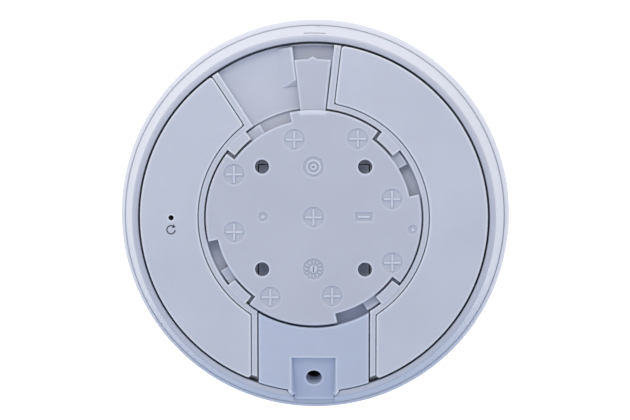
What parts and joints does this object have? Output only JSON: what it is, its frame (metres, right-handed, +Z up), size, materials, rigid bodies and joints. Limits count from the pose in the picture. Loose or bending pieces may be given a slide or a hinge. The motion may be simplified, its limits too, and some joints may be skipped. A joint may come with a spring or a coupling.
{
  "type": "wall-mounted alarm siren",
  "caption": "Round wall-mounted alarm siren with a bayonet wall plate, latch tongue, rear covers, battery door, power socket recess and domed front with sound slots.",
  "frame": {"origin": "middle of the wall plate's four screw holes, on the wall plane", "axes": "+Y out of the wall into the room, +Z up, +X to the right when the back is looked at from the wall side"},
  "size_m": [0.12, 0.038, 0.12],
  "materials": {
    "plate_plastic": "fine satin moulded",
    "housing_plastic": "fine satin moulded",
    "cover_plastic": "fine satin moulded",
    "door_plastic": "fine satin moulded, slightly bluer",
    "shell_plastic": "smooth semi-gloss moulded",
    "diffuser": "milky translucent",
    "steel": "plain plated steel",
    "foam": "soft closed-cell foam",
    "black_plastic": "matt black",
    "brass": "bare brass",
    "board": "green solder mask",
    "led_body": "clear epoxy in a white body",
    "copper": "enamelled winding",
    "plunger_plastic": "satin white",
    "cell_can": "plain wrapped can"
  },
  "bodies": {
    "wall_plate_body": {"wall_plate": "plate_plastic"},
    "tongue": {"latch_tongue": "plate_plastic"},
    "siren": {"rear_housing": "housing_plastic", "rear_cover_left": "cover_plastic", "rear_cover_right": "cover_plastic", "battery_door": "door_plastic", "side_shell": "shell_plastic", "front_cover": "shell_plastic", "light_ring": "diffuser", "grille_mesh": "steel", "foam_ring": "foam", "sounder_cup": "black_plastic", "piezo_disc": "brass", "sounder_cap": "black_plastic", "sounder_pins": "steel", "circuit_board": "board", "case_screws": "steel", "board_screws": "steel", "status_leds": "led_body", "radio_module": "steel", "main_chip": "black_plastic", "driver_coil": "copper", "capacitors": "black_plastic", "reset_switch": "black_plastic", "tamper_switch": "black_plastic", "dc_jack": "black_plastic", "jack_pin": "brass", "battery_left": "cell_can", "battery_middle": "cell_can", "battery_right": "cell_can", "battery_springs": "steel", "battery_plates": "steel"},
    "reset": {"reset_button": "plunger_plastic"},
    "tamper": {"tamper_plunger": "plunger_plastic"}
  },
  "joints": [
    {"name": "housing_twist", "type": "hinge", "parent": "wall_plate_body", "child": "siren", "pos_m": [0, 0, 0], "axis": [0, 1, 0], "range_deg": [0, 24]},
    {"name": "tongue_flex", "type": "hinge", "parent": "wall_plate_body", "child": "tongue", "pos_m": [0, 0.0016, 0.0328], "axis": [1, 0, 0], "range_deg": [0, 2.4], "stiffness_Nm_per_rad": 0.5},
    {"name": "reset_press", "type": "slide", "parent": "siren", "child": "reset", "axis": [0, 1, 0], "range_m": [0, 0.0004], "stiffness_N_per_m": 800},
    {"name": "tamper_press", "type": "slide", "parent": "siren", "child": "tamper", "axis": [0, 1, 0], "range_m": [0, 0.0004], "stiffness_N_per_m": 800}
  ]
}
